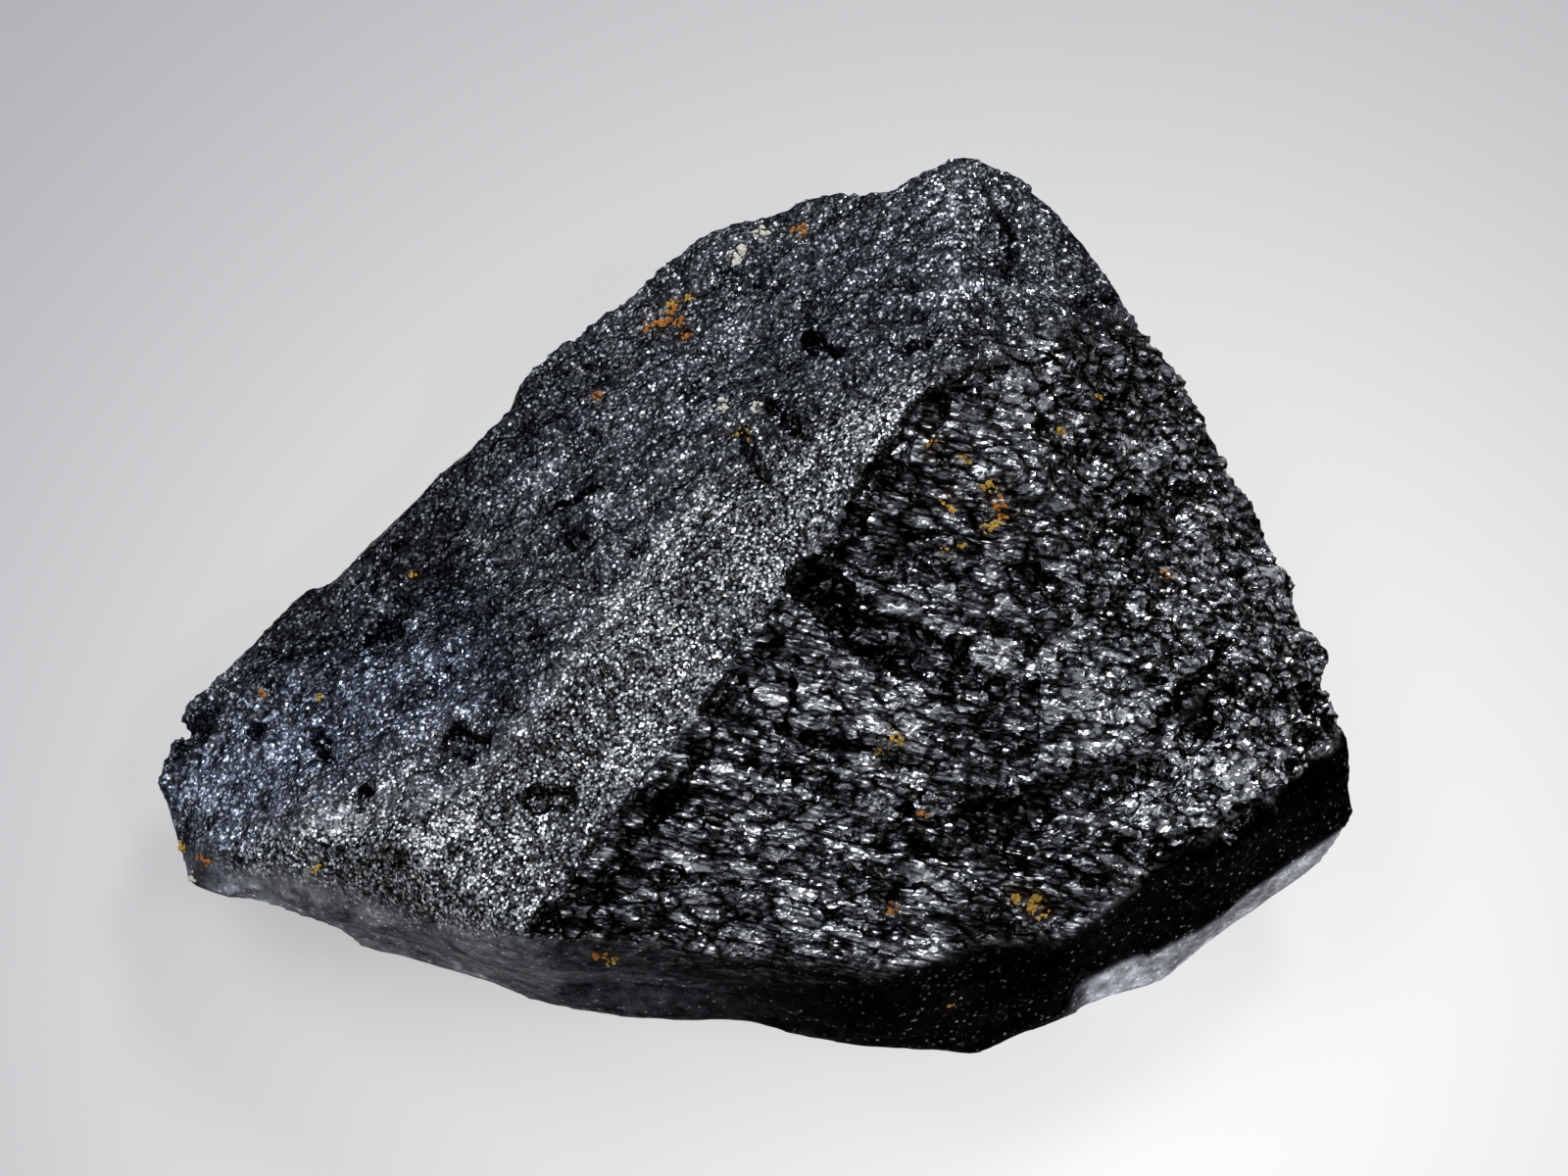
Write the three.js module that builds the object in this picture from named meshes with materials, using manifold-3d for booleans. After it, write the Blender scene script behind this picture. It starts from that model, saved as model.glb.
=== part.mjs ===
// Tapiolite crystal: a loose black crystal that lies on the flat face where it broke off.
// Sizes are in mm. Z is up, the front of the crystal faces -Y and its thin tip points to -X.
import * as THREE from 'three';
import { ConvexGeometry } from 'three/addons/geometries/ConvexGeometry.js';
import { ImprovedNoise } from 'three/addons/math/ImprovedNoise.js';
import { TessellateModifier } from 'three/addons/modifiers/TessellateModifier.js';
import { mergeVertices } from 'three/addons/utils/BufferGeometryUtils.js';
import Module from 'manifold-3d';

// The ridge between the glittering bevel and the ledged right face runs from apex to ridge foot.
const APEX = [3.9, 3.5, 10];
const RIDGE_FOOT = [-4.8, -8.2, 7.6];
const BEVEL_FOOT = [-7.4, -6, 7.1];

// Rim round the back of the upper left face, from the thin tip to the crown.
const LEFT_RIM = [[-11.1, -0.3, 3.8], [-4, 6.8, 5.3], [-0.7, 8.4, 6.3], [1.9, 8.7, 7.6]];
const CROWN = [[4.5, 9.1, 8.6], [5.7, 9, 8.3]];

// Rim down the right side, from the crown to the blunt right end.
const RIGHT_RIM = [[8.2, 5.9, 8], [11, 2.1, 6], [12, -0.6, 4.9]];
const RIGHT_END = [[12.1, -1.8, 3.9], [13, -4.2, 3.4]];

// Upper edge of the front, from the right end to the foot of the ridge and on to the tip.
const FRONT_EDGE = [[11, -4.9, 6], [7.4, -7.1, 5.8], [5, -8.2, 5.9], [1.7, -8.7, 6.3]];
const TIP_EDGE = [[-6.4, -7.9, 6.3], [-9.4, -6.2, 5.6], [-11.6, -5.2, 4.2]];
const TIP = [[-12.5, -1.3, 3.1], [-13.1, -3.2, 3], [-12.5, -5.6, 3]];

// Widest line of the front, where the walls turn in under the crystal.
const FRONT_GIRDLE = [
  [10.2, -6.2, 3.2], [6.2, -8.6, 3.4], [4.5, -9.4, 3.4], [1.7, -9.1, 3.4], [-4.9, -8.3, 3.3], [-7.9, -7, 3.1],
];

// Smooth low facet at the lower right.
const LOW_FACET = [[8.7, -7.4, 1.8], [10.6, -6, 1.7], [12.2, -4.8, 2]];

// Flat broken face that the crystal lies on.
const BASE = [
  [-10.2, -3.9, 0], [-9.4, -1.9, 0], [-3.6, 4.4, 0], [2.2, 6.2, 0], [6.2, 4.4, 0],
  [10.2, -1, 0], [10.4, -4.6, 0], [6, -7.2, 0], [-2.4, -6.6, 0],
];

// Growth lines on the right face run nearly level, a little down to the right.
const GROWTH_LINE = [0.976, -0.09, -0.2];

// Places on a face are [along, down] in mm from the face's first corner. A cut is given by its start,
// end, width, depth and the share of its width at which it is deepest.

// Right face: the dark hollow beside the ridge, the bent valley at the lower right, a crack across the
// growth lines and a pit near the right end.
const HOLLOWS = [
  { from: [-2.5, 3.9], to: [1.3, 6.1], width: 1.6, depth: 0.8, deepest: 0.3 },
  { from: [-1.6, 3.6], to: [0.3, 4.1], width: 1, depth: 0.4, deepest: 0.4 },
  { from: [1.6, 9.3], to: [6.6, 6.6], width: 1.3, depth: 0.65, deepest: 0.5 },
  { from: [5.7, 7.6], to: [6.9, 4.4], width: 1.1, depth: 0.6, deepest: 0.5 },
  { from: [6.4, 9.3], to: [10.2, 6.3], width: 0.9, depth: 0.55, deepest: 0.5 },
  { from: [2.5, 2.9], to: [3.4, 8.6], width: 0.4, depth: 0.22, deepest: 0.5 },
  { from: [7.5, 4.2], to: [8.6, 4.6], width: 0.8, depth: 0.45, deepest: 0.5 },
];

// Right face: the longest ledges, which step down towards the front.
const LEDGES = [
  { from: [-1.3, 2.5], to: [2.1, 2.8], width: 0.8, depth: 0.3, deepest: 0.15 },
  { from: [-1.2, 5.9], to: [1.6, 6.5], width: 0.8, depth: 0.35, deepest: 0.15 },
  { from: [1.9, 4.6], to: [4.4, 5.2], width: 0.8, depth: 0.3, deepest: 0.15 },
  { from: [-4, 7.3], to: [-1.6, 7.4], width: 0.6, depth: 0.2, deepest: 0.15 },
  { from: [-2.4, 7.9], to: [0.9, 8.2], width: 0.7, depth: 0.28, deepest: 0.15 },
  { from: [-4.3, 9.1], to: [-0.8, 9.2], width: 0.6, depth: 0.2, deepest: 0.15 },
  { from: [-1.4, 9.8], to: [2.7, 9.9], width: 0.6, depth: 0.25, deepest: 0.15 },
  { from: [-4.9, 10.5], to: [-0.6, 10.6], width: 0.6, depth: 0.2, deepest: 0.15 },
  { from: [-2.6, 11.2], to: [2.8, 11.3], width: 0.6, depth: 0.25, deepest: 0.15 },
  { from: [-5.1, 11.9], to: [-1.2, 12], width: 0.6, depth: 0.18, deepest: 0.15 },
];

// Front: ledges under its upper edge.
const FRONT_LEDGES = [
  { from: [0.3, 0.3], to: [7.9, 0.5], width: 0.5, depth: 0.2, deepest: 0.2 },
  { from: [0.2, 1], to: [8.6, 1.2], width: 0.55, depth: 0.22, deepest: 0.2 },
  { from: [0.6, 1.7], to: [9, 1.9], width: 0.5, depth: 0.2, deepest: 0.2 },
];

// Upper left face: shallow dark hollows, two cracks near the ridge and a groove below the crown.
const LEFT_HOLLOWS = [
  { from: [6.9, 5.3], to: [8.4, 4.8], width: 0.5, depth: 0.22, deepest: 0.6 },
  { from: [7.7, 5.9], to: [9.2, 5.1], width: 0.6, depth: 0.2, deepest: 0.3 },
  { from: [11.5, 5.2], to: [12.6, 5.9], width: 0.6, depth: 0.22, deepest: 0.4 },
  { from: [12.2, 5.1], to: [13.6, 5.3], width: 0.5, depth: 0.2, deepest: 0.7 },
  { from: [1.6, 4.3], to: [3.4, 4], width: 0.5, depth: 0.2, deepest: 0.5 },
  { from: [2.8, 1.2], to: [3, 2.9], width: 0.35, depth: 0.2, deepest: 0.5 },
  { from: [4, 1], to: [3.8, 2.9], width: 0.35, depth: 0.2, deepest: 0.5 },
  { from: [-2.7, 0.5], to: [-3.4, 2.7], width: 0.6, depth: 0.35, deepest: 0.5 },
  { from: [4.4, 9.3], to: [7.2, 8.9], width: 0.8, depth: 0.35, deepest: 0.4 },
];

// Rim: long shallow dents in the outline. Each is cut inwards from the line between two rim corners.
const RIM_DENTS = [
  {
    rim: [LEFT_RIM[1], LEFT_RIM[0]],
    from: [1.5, -0.6],
    to: [9.2, -0.6],
    width: 2.6,
    depth: 0.52,
    deepest: 0.3,
  },
  {
    rim: [CROWN[0], LEFT_RIM[2]],
    from: [0.9, -0.6],
    to: [4.9, -0.6],
    width: 2.4,
    depth: 0.4,
    deepest: 0.3,
  },
  {
    rim: [RIGHT_RIM[1], RIGHT_RIM[0]],
    from: [0, -0.6],
    to: [4.2, -0.6],
    width: 2.2,
    depth: 0.5,
    deepest: 0.3,
  },
  {
    rim: [RIGHT_RIM[2], RIGHT_RIM[1]],
    from: [0.1, -0.6],
    to: [1.2, -0.6],
    width: 1.4,
    depth: 0.3,
    deepest: 0.3,
  },
  {
    rim: [TIP[2], FRONT_GIRDLE[5]],
    from: [0.9, -1.4],
    to: [4, -1.4],
    width: 2.4,
    depth: 0.25,
    deepest: 0.5,
  },
  {
    rim: [FRONT_GIRDLE[1], LOW_FACET[0]],
    from: [0.4, -1.6],
    to: [2.8, -1.6],
    width: 3,
    depth: 0.45,
    deepest: 0.5,
  },
];

// Hidden back: broken ledges.
const BACK_LEDGES = [
  { from: [1, 1.2], to: [7.4, 1.6], width: 1.3, depth: 0.55, deepest: 0.25 },
  { from: [1.5, 3.4], to: [8.5, 2.9], width: 1, depth: 0.45, deepest: 0.3 },
];
const BACK_RIGHT_LEDGES = [
  { from: [1.2, 1.5], to: [7.6, 1.1], width: 1.2, depth: 0.5, deepest: 0.3 },
  { from: [0.4, 4], to: [6.5, 3.4], width: 1.1, depth: 0.45, deepest: 0.3 },
];

// Step that parts the rough right face from the smooth right end.
const END_STEP = { from: [12.6, -1.2, 4.9], to: [9.9, -5.4, 6.2], width: 0.9, depth: 0.45, deepest: 0.35 };

// Small cuts scattered over the faces: how many, the range of their sizes in mm, and the range of their
// directions in degrees from the line along the face. They lie between two places down the face, and
// along gives the first and last place along it for each place down it.
const RIGHT_CHIPS = {
  count: 76,
  length: [0.9, 2.8],
  width: [0.35, 0.7],
  depth: [0.07, 0.2],
  turn: [-9, 9],
  down: [-0.5, 12],
  along: (down) => [1.2 - 0.5 * down, Math.min(4 + 0.6 * down, 13 - 0.9 * down)],
};
const END_CHIPS = {
  count: 30,
  length: [0.7, 2],
  width: [0.35, 0.7],
  depth: [0.08, 0.2],
  turn: [60, 115],
  down: [-2.5, 1.2],
  along: () => [0.6, 10.5],
};
const LEFT_CHIPS = {
  count: 30,
  length: [0.8, 2.8],
  width: [0.3, 0.7],
  depth: [0.05, 0.11],
  turn: [-80, 80],
  down: [0.8, 9],
  along: (down) => [0.3 * down - 2.5, 17 - down],
};
const BEVEL_CHIPS = {
  count: 7,
  length: [1, 2.6],
  width: [0.3, 0.5],
  depth: [0.04, 0.08],
  turn: [-6, 9],
  down: [0.2, 1.8],
  along: (down) => [2 + 3 * down, 14 - down],
};
const UNDER_CHIPS = {
  count: 10,
  length: [1, 3],
  width: [0.5, 1],
  depth: [0.08, 0.2],
  turn: [-20, 20],
  down: [0.6, 3.2],
  along: () => [-4, 10],
};
const BACK_CHIPS = {
  count: 16,
  length: [1, 3.2],
  width: [0.6, 1.4],
  depth: [0.12, 0.35],
  turn: [-35, 35],
  down: [0.8, 5],
  along: (down) => [0.5, 9 - down],
};
const LEDGE_SHARPNESS = [0.15, 0.6];

// The black hollow in the thin tip, and two lumps that stand out from the outline.
const TIP_HOLLOW = { centre: [-12.4, -2.05, 3.5], size: [0.6, 0.5, 0.65] };
const TIP_LUMP = { centre: [-11.8, -4.9, 3.5], size: [0.5, 0.5, 0.55] };
const SHELF_LUMP = { centre: [5.9, -8.35, 3.5], size: [0.6, 0.45, 0.4] };
const LUMP_SIDES = 7;
const LUMP_LEVELS = [-1, -0.3, 0.5, 1];

// Cuts run out over this share of their length at each end and reach this far out of their face.
const TAPER = 0.18;
const LID = 0.7;

// The finished surface is split into edges of this length, and then joined up again where it stays flat.
const FINE_EDGE = 0.34;
const SPLIT_ROUNDS = 14;
const FLATNESS = 0.028;

// Unevenness of the whole surface: depth and spacing of its waves in mm. It fades out towards the base.
const WAVES = [
  { depth: 0.15, spacing: 4.5, stretch: 1.3 },
  { depth: 0.1, spacing: 1.6, stretch: 1.6 },
];
const CALM_HEIGHT = 0.9;
const SEED = 20;

const wasm = await Module();
wasm.setup();
const noise = new ImprovedNoise();

function randomSource(seed) {
  let state = seed;
  return (low, high) => {
    state = (state * 1664525 + 1013904223) % 4294967296;
    return low + (high - low) * state / 4294967296;
  };
}

function toSolid(geometry) {
  geometry.deleteAttribute('normal');
  geometry.deleteAttribute('uv');
  const merged = mergeVertices(geometry);
  const vertProperties = Float32Array.from(merged.attributes.position.array);
  const triVerts = Uint32Array.from(merged.index.array);
  return new wasm.Manifold(new wasm.Mesh({ numProp: 3, vertProperties, triVerts }));
}

function toGeometry(solid) {
  const mesh = solid.getMesh();
  const geometry = new THREE.BufferGeometry();
  geometry.setAttribute('position', new THREE.BufferAttribute(mesh.vertProperties, 3));
  geometry.setIndex(new THREE.BufferAttribute(mesh.triVerts, 1));
  return geometry;
}

function convexSolid(points) {
  return toSolid(new ConvexGeometry(points));
}

// Working frame on a face: a to b runs along it, c lies further down on it, height stands out of it.
function faceFrame(a, b, c) {
  const origin = new THREE.Vector3(...a);
  const along = new THREE.Vector3(...b).sub(origin).normalize();
  const out = new THREE.Vector3(...c).sub(origin).cross(along).normalize();
  const down = along.clone().cross(out);
  return (s, t, height) => origin.clone()
    .addScaledVector(along, s)
    .addScaledVector(down, t)
    .addScaledVector(out, height);
}

function shifted(point, step) {
  return point.map((value, axis) => value + step[axis]);
}

// A straight cut with pointed ends: a ledge when it is deepest at one side, a groove when in the middle.
function cut(face, { from, to, width, depth, deepest }) {
  const run = new THREE.Vector2(to[0] - from[0], to[1] - from[1]);
  const length = run.length();
  run.normalize();
  const place = (along, side, height) => face(
    from[0] + run.x * along - run.y * side,
    from[1] + run.y * along + run.x * side,
    height,
  );
  const shoulders = [length * TAPER, length * (1 - TAPER)];
  const points = shoulders.map((along) => place(along, width * deepest, -depth));
  for (const height of [0, LID]) {
    points.push(place(0, width * deepest, height));
    points.push(place(length, width * deepest, height));
    for (const along of shoulders) {
      points.push(place(along, 0, height));
      points.push(place(along, width, height));
    }
  }
  return convexSolid(points);
}

function scatter(face, chips, random) {
  const cuts = [];
  for (let i = 0; i < chips.count; i += 1) {
    const t = random(...chips.down);
    const s = random(...chips.along(t));
    const length = random(...chips.length);
    const turn = THREE.MathUtils.degToRad(random(...chips.turn));
    const reach = [Math.cos(turn) * length / 2, Math.sin(turn) * length / 2];
    cuts.push(cut(face, {
      from: [s - reach[0], t - reach[1]],
      to: [s + reach[0], t + reach[1]],
      width: random(...chips.width),
      depth: random(...chips.depth),
      deepest: random(...LEDGE_SHARPNESS),
    }));
  }
  return cuts;
}

// A small angular block, used to add a lump or to bite a piece out.
function block({ centre, size }, random) {
  const points = [];
  for (const level of LUMP_LEVELS) {
    const reach = Math.sqrt(1.1 - level * level);
    for (let side = 0; side < LUMP_SIDES; side += 1) {
      const angle = (side + random(-0.3, 0.3)) * 2 * Math.PI / LUMP_SIDES;
      points.push(new THREE.Vector3(
        centre[0] + Math.cos(angle) * reach * size[0],
        centre[1] + Math.sin(angle) * reach * size[1],
        centre[2] + level * size[2],
      ));
    }
  }
  return convexSolid(points);
}

function crystalForm() {
  const corners = [
    APEX, RIDGE_FOOT, BEVEL_FOOT, ...LEFT_RIM, ...CROWN, ...RIGHT_RIM, ...RIGHT_END,
    ...FRONT_EDGE, ...TIP_EDGE, ...TIP, ...FRONT_GIRDLE, ...LOW_FACET, ...BASE,
  ];
  return convexSolid(corners.map((corner) => new THREE.Vector3(...corner)));
}

// Slivers that the cuts part from the crystal fall away.
function largestBody(solid) {
  return solid.decompose().reduce((best, body) => (body.volume() > best.volume() ? body : best));
}

function rightFaceCuts(random) {
  const face = faceFrame(APEX, shifted(APEX, GROWTH_LINE), RIDGE_FOOT);
  return [
    ...[...HOLLOWS, ...LEDGES].map((shape) => cut(face, shape)),
    ...scatter(face, RIGHT_CHIPS, random),
  ];
}

function rightEndCuts(random) {
  const face = faceFrame(FRONT_EDGE[0], RIGHT_RIM[0], RIGHT_RIM[1]);
  const { from, to, ...shape } = END_STEP;
  const step = faceFrame(from, to, FRONT_GIRDLE[0]);
  const length = new THREE.Vector3(...from).distanceTo(new THREE.Vector3(...to));
  return [
    ...scatter(face, END_CHIPS, random),
    cut(step, { from: [0, 0], to: [length, 0], ...shape }),
  ];
}

function leftFaceCuts(random) {
  const face = faceFrame(APEX, BEVEL_FOOT, LEFT_RIM[1]);
  return [
    ...LEFT_HOLLOWS.map((shape) => cut(face, shape)),
    ...scatter(face, LEFT_CHIPS, random),
  ];
}

function bevelCuts(random) {
  const face = faceFrame(APEX, RIDGE_FOOT, BEVEL_FOOT);
  return scatter(face, BEVEL_CHIPS, random);
}

function frontCuts(random) {
  const face = faceFrame(RIDGE_FOOT, FRONT_EDGE[3], FRONT_GIRDLE[2]);
  const under = faceFrame(FRONT_GIRDLE[4], FRONT_GIRDLE[3], BASE[8]);
  return [
    ...FRONT_LEDGES.map((shape) => cut(face, shape)),
    ...scatter(under, UNDER_CHIPS, random),
  ];
}

function backCuts(random) {
  const left = faceFrame(LEFT_RIM[1], TIP[0], BASE[2]);
  const middle = faceFrame(CROWN[0], LEFT_RIM[2], BASE[3]);
  const right = faceFrame(RIGHT_RIM[1], CROWN[1], BASE[4]);
  return [
    ...BACK_LEDGES.map((shape) => cut(left, shape)),
    ...BACK_RIGHT_LEDGES.map((shape) => cut(right, shape)),
    ...[left, middle, right].flatMap((face) => scatter(face, BACK_CHIPS, random)),
  ];
}

function rimCuts() {
  return RIM_DENTS.map(({ rim: [start, end], ...shape }) => {
    const below = shifted(start, [0, 0, -1]);
    return cut(faceFrame(start, [end[0], end[1], start[2]], below), shape);
  });
}

// Moves every point by smooth waves, drawn out along the growth lines, and leaves the base flat.
function roughen(geometry) {
  const position = geometry.attributes.position;
  const point = new THREE.Vector3();
  const step = new THREE.Vector3();
  for (let i = 0; i < position.count; i += 1) {
    point.fromBufferAttribute(position, i);
    const calm = THREE.MathUtils.smoothstep(point.z, 0, CALM_HEIGHT);
    step.set(0, 0, 0);
    for (const { depth, spacing, stretch } of WAVES) {
      const x = point.x / (spacing * stretch);
      const y = point.y / spacing;
      const z = point.z / spacing;
      step.x += depth * noise.noise(x, y, z);
      step.y += depth * noise.noise(x + 31.4, y + 5.3, z + 17.8);
      step.z += depth * noise.noise(x + 7.1, y + 43.9, z + 2.6);
    }
    point.addScaledVector(step, 2 * calm);
    position.setXYZ(i, point.x, point.y, point.z);
  }
}

function finishedSurface(solid) {
  const split = new TessellateModifier(FINE_EDGE, SPLIT_ROUNDS).modify(toGeometry(solid));
  split.deleteAttribute('normal');
  split.deleteAttribute('uv');
  const fine = mergeVertices(split);
  roughen(fine);
  const geometry = toGeometry(toSolid(fine).simplify(FLATNESS));
  geometry.computeBoundingBox();
  const middle = geometry.boundingBox.getCenter(new THREE.Vector3());
  geometry.translate(-middle.x, -middle.y, 0);
  geometry.computeVertexNormals();
  return geometry;
}

function crystal() {
  const random = randomSource(SEED);
  const cuts = [
    ...rightFaceCuts(random), ...rightEndCuts(random), ...leftFaceCuts(random), ...bevelCuts(random),
    ...frontCuts(random), ...backCuts(random), ...rimCuts(), block(TIP_HOLLOW, random),
  ];
  let solid = crystalForm();
  for (const piece of cuts) {
    solid = solid.subtract(piece);
  }
  solid = solid.add(block(TIP_LUMP, random)).add(block(SHELF_LUMP, random));
  solid = largestBody(solid);
  const material = new THREE.MeshStandardMaterial({ color: 0x141416, roughness: 0.35, metalness: 0.35 });
  const mesh = new THREE.Mesh(finishedSurface(solid), material);
  mesh.name = 'crystal';
  return mesh;
}

const group = new THREE.Group();
group.name = 'tapiolite_crystal';
group.add(crystal());

export default group;
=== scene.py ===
"""A loose black tapiolite crystal, seen from above on pale paper. Blender 4.5, metres, Z up.

The crystal's CAD solid is the frame. A copy of it is made fine-meshed here, its faces get their ledges,
growth lines, cracks and sugary grain, and small crumbs of iron oxide and clay are set on it.
"""
import math
import random

import bpy
from mathutils import Matrix, Vector, kdtree, noise


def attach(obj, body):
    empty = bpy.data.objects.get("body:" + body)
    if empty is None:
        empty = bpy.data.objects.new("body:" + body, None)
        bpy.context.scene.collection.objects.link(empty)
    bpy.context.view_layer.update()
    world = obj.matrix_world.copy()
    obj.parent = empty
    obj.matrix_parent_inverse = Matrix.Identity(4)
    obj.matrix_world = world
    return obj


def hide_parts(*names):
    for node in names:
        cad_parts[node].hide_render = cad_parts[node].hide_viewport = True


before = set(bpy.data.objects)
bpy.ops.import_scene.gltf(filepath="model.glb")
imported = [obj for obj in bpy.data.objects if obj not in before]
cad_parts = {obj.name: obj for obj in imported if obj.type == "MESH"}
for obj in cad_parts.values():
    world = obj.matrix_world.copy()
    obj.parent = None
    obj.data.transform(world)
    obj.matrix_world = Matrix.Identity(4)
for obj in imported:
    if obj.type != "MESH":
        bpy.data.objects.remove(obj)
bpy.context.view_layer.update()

MM = 0.001

# Corners of the crystal that part its faces, in mm, as in the solid.
APEX = Vector((3.9, 3.5, 10.0))
RIDGE_FOOT = Vector((-4.8, -8.2, 7.6))
RIGHT_CORNER = Vector((11.0, -4.9, 6.0))
GROWTH_LINE = Vector((0.96, -0.17, -0.22)).normalized()

# The ledged face's own frame: along its growth lines, up across them, and out of it.
LEDGED_NORMAL = (RIDGE_FOOT - APEX).cross(RIGHT_CORNER - APEX).normalized()
DOWN_FACE = GROWTH_LINE.cross(LEDGED_NORMAL)
GROWTH_AXES = Matrix((GROWTH_LINE, -DOWN_FACE, LEDGED_NORMAL)).transposed()
GROWTH_TURN = GROWTH_AXES.to_euler()

# Where the glitter of the bevel ends on its left, the upper edge of the front from the left tip to the
# right, and the ledged face's edge along the ridge and crown. Places are seen from above, in mm, from
# here on.
GLITTER_EDGE = [(-7.2, -5.9), (-4.3, -3.0), (-2.4, -0.2), (-0.9, 1.7), (1.5, 3.0), (3.9, 3.8)]
FRONT_EDGE = [
    (-12.2, -4.7), (-11.3, -5.4), (-10.5, -5.7), (-9.4, -6.0), (-8.1, -6.8), (-7.3, -7.2),
    (-6.5, -7.4), (-5.7, -7.7), (-4.9, -7.9), (2.5, -8.4), (5.0, -7.6), (6.4, -7.6), (8.7, -5.9),
    (11.2, -4.4), (12.6, -2.6),
]
RIDGE_AND_CROWN = [(-4.8, -8.2), (3.9, 3.5), (5.4, 4.4), (8.6, 5.8), (11.0, 7.0)]

# Cracks, slits and hollows: half width, depth and path.
CLEFTS = [
    (0.42, 0.4, [(4.6, -5.3), (6.7, -4.4), (8.4, -3.7), (9.3, -2.8), (9.8, -2.0)]),
    (0.12, 0.16, [(5.9, 0.4), (6.0, -1.3), (5.9, -2.8), (5.8, -4.4)]),
    (0.3, 0.35, [(3.8, 3.2), (2.8, 1.7), (1.7, -0.1), (1.1, -0.7)]),
    (0.2, 0.2, [(0.7, -1.6), (-0.7, -3.5), (-2.2, -5.8), (-3.8, -7.8)]),
    (0.5, 0.5, [(1.4, -0.7), (2.2, -1.3), (3.1, -1.8)]),
    (0.17, 0.3, [(1.2, -3.6), (2.1, -3.8), (3.0, -4.0)]),
    (0.16, 0.3, [(8.2, 1.7), (8.9, 1.9), (9.4, 2.2)]),
    (0.17, 0.3, [(5.4, 7.8), (5.5, 7.0), (5.6, 6.3)]),
    (0.17, 0.35, [(1.2, 5.3), (1.5, 4.8), (1.8, 4.7)]),
    (0.14, 0.25, [(3.4, 4.6), (3.7, 4.6)]),
    (0.11, 0.2, [(0.3, 3.7), (0.7, 3.2), (1.1, 2.7)]),
    (0.11, 0.2, [(-0.2, 3.1), (-0.1, 2.6), (0.3, 1.8)]),
    (0.16, 0.25, [(7.1, 6.0), (7.7, 6.2)]),
    (0.25, 0.25, [(3.8, 3.2), (4.5, 3.6), (5.3, 4.0)]),
    (0.2, 0.2, [(10.3, -2.6), (11.4, -2.0), (12.0, -1.7)]),
    (0.13, 0.25, [(-4.4, 2.0), (-3.9, 2.1), (-3.5, 2.3)]),
    (0.12, 0.25, [(-9.4, -2.7), (-9.2, -3.1), (-9.1, -3.5)]),
    (0.18, 0.25, [(-1.9, -5.1), (-1.2, -5.2)]),
    (0.35, 0.35, [(8.6, -6.2), (9.5, -5.5), (11.1, -4.6), (12.5, -3.4)]),
    (0.28, 0.35, [(10.1, -1.4)]),
    (0.35, 0.3, [(-4.3, -7.7)]),
    (0.25, 0.25, [(-4.5, -5.0), (-4.0, -5.1)]),
    (0.4, 0.3, [(-7.9, -0.4)]),
    (0.3, 0.3, [(-8.3, -4.5)]),
    (0.35, 0.3, [(-6.3, -3.4), (-5.9, -3.7)]),
    (0.25, 0.3, [(-3.8, 1.1)]),
    (0.25, 0.25, [(-10.8, -2.3)]),
    (0.3, 0.3, [(5.2, -4.6), (5.6, -4.9)]),
    (0.25, 0.3, [(2.1, -6.7), (2.8, -6.8)]),
    (0.2, 0.25, [(0.2, -5.0), (1.0, -5.1)]),
    (0.2, 0.25, [(5.6, -0.2), (6.6, -0.6)]),
    (0.22, 0.25, [(7.4, -0.9), (7.9, -0.6)]),
    (0.22, 0.25, [(3.4, 0.5), (4.3, 0.4)]),
    (0.16, 0.25, [(0.9, -2.2), (0.7, -3.5)]),
    (0.16, 0.25, [(4.3, -1.8), (4.2, -2.8)]),
    (0.16, 0.25, [(3.0, -1.6), (4.2, -2.0), (5.2, -2.6)]),
    (0.14, 0.2, [(-0.6, -4.3), (1.4, -4.6), (3.2, -5.1)]),
    (0.14, 0.2, [(-1.0, -5.6), (1.2, -6.0), (3.4, -6.6)]),
    (0.14, 0.2, [(-1.8, -6.6), (0.6, -7.0), (3.0, -7.5)]),
    (0.14, 0.2, [(2.6, 0.0), (3.8, -0.3), (5.0, -0.7)]),
]

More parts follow.
